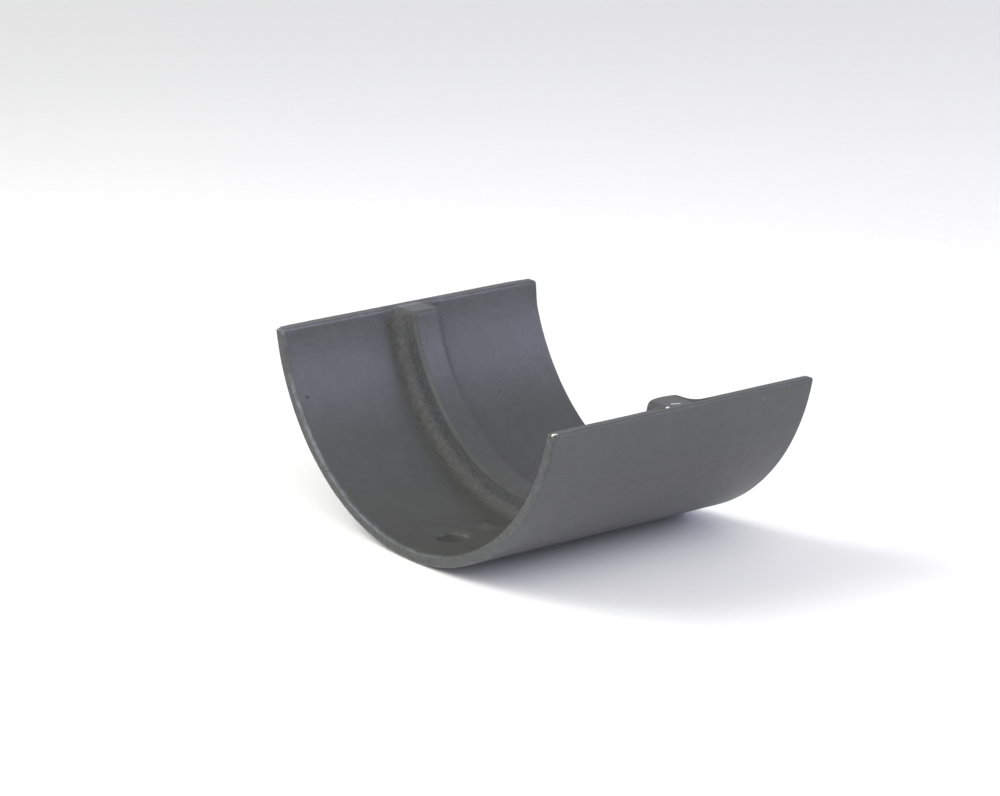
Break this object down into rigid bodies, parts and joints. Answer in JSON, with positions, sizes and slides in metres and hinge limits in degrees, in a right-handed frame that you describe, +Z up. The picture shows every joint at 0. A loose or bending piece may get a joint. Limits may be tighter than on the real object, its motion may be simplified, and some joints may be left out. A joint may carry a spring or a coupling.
{
  "type": "gutter union",
  "caption": "Half-round cast-iron union that joins two gutter lengths end to end, with open sockets on each side of a central stop.",
  "frame": {"origin": "lowest point of the round bottom, at the middle of the length", "axes": "+Y along the gutter run, +X across it, +Z up out of the open top"},
  "size_m": [0.1248, 0.092, 0.052],
  "materials": {
    "painted_casting": "satin dark grey paint over a slightly rough cast surface"
  },
  "bodies": {
    "root": {"union_casting": "painted_casting"}
  },
  "joints": []
}
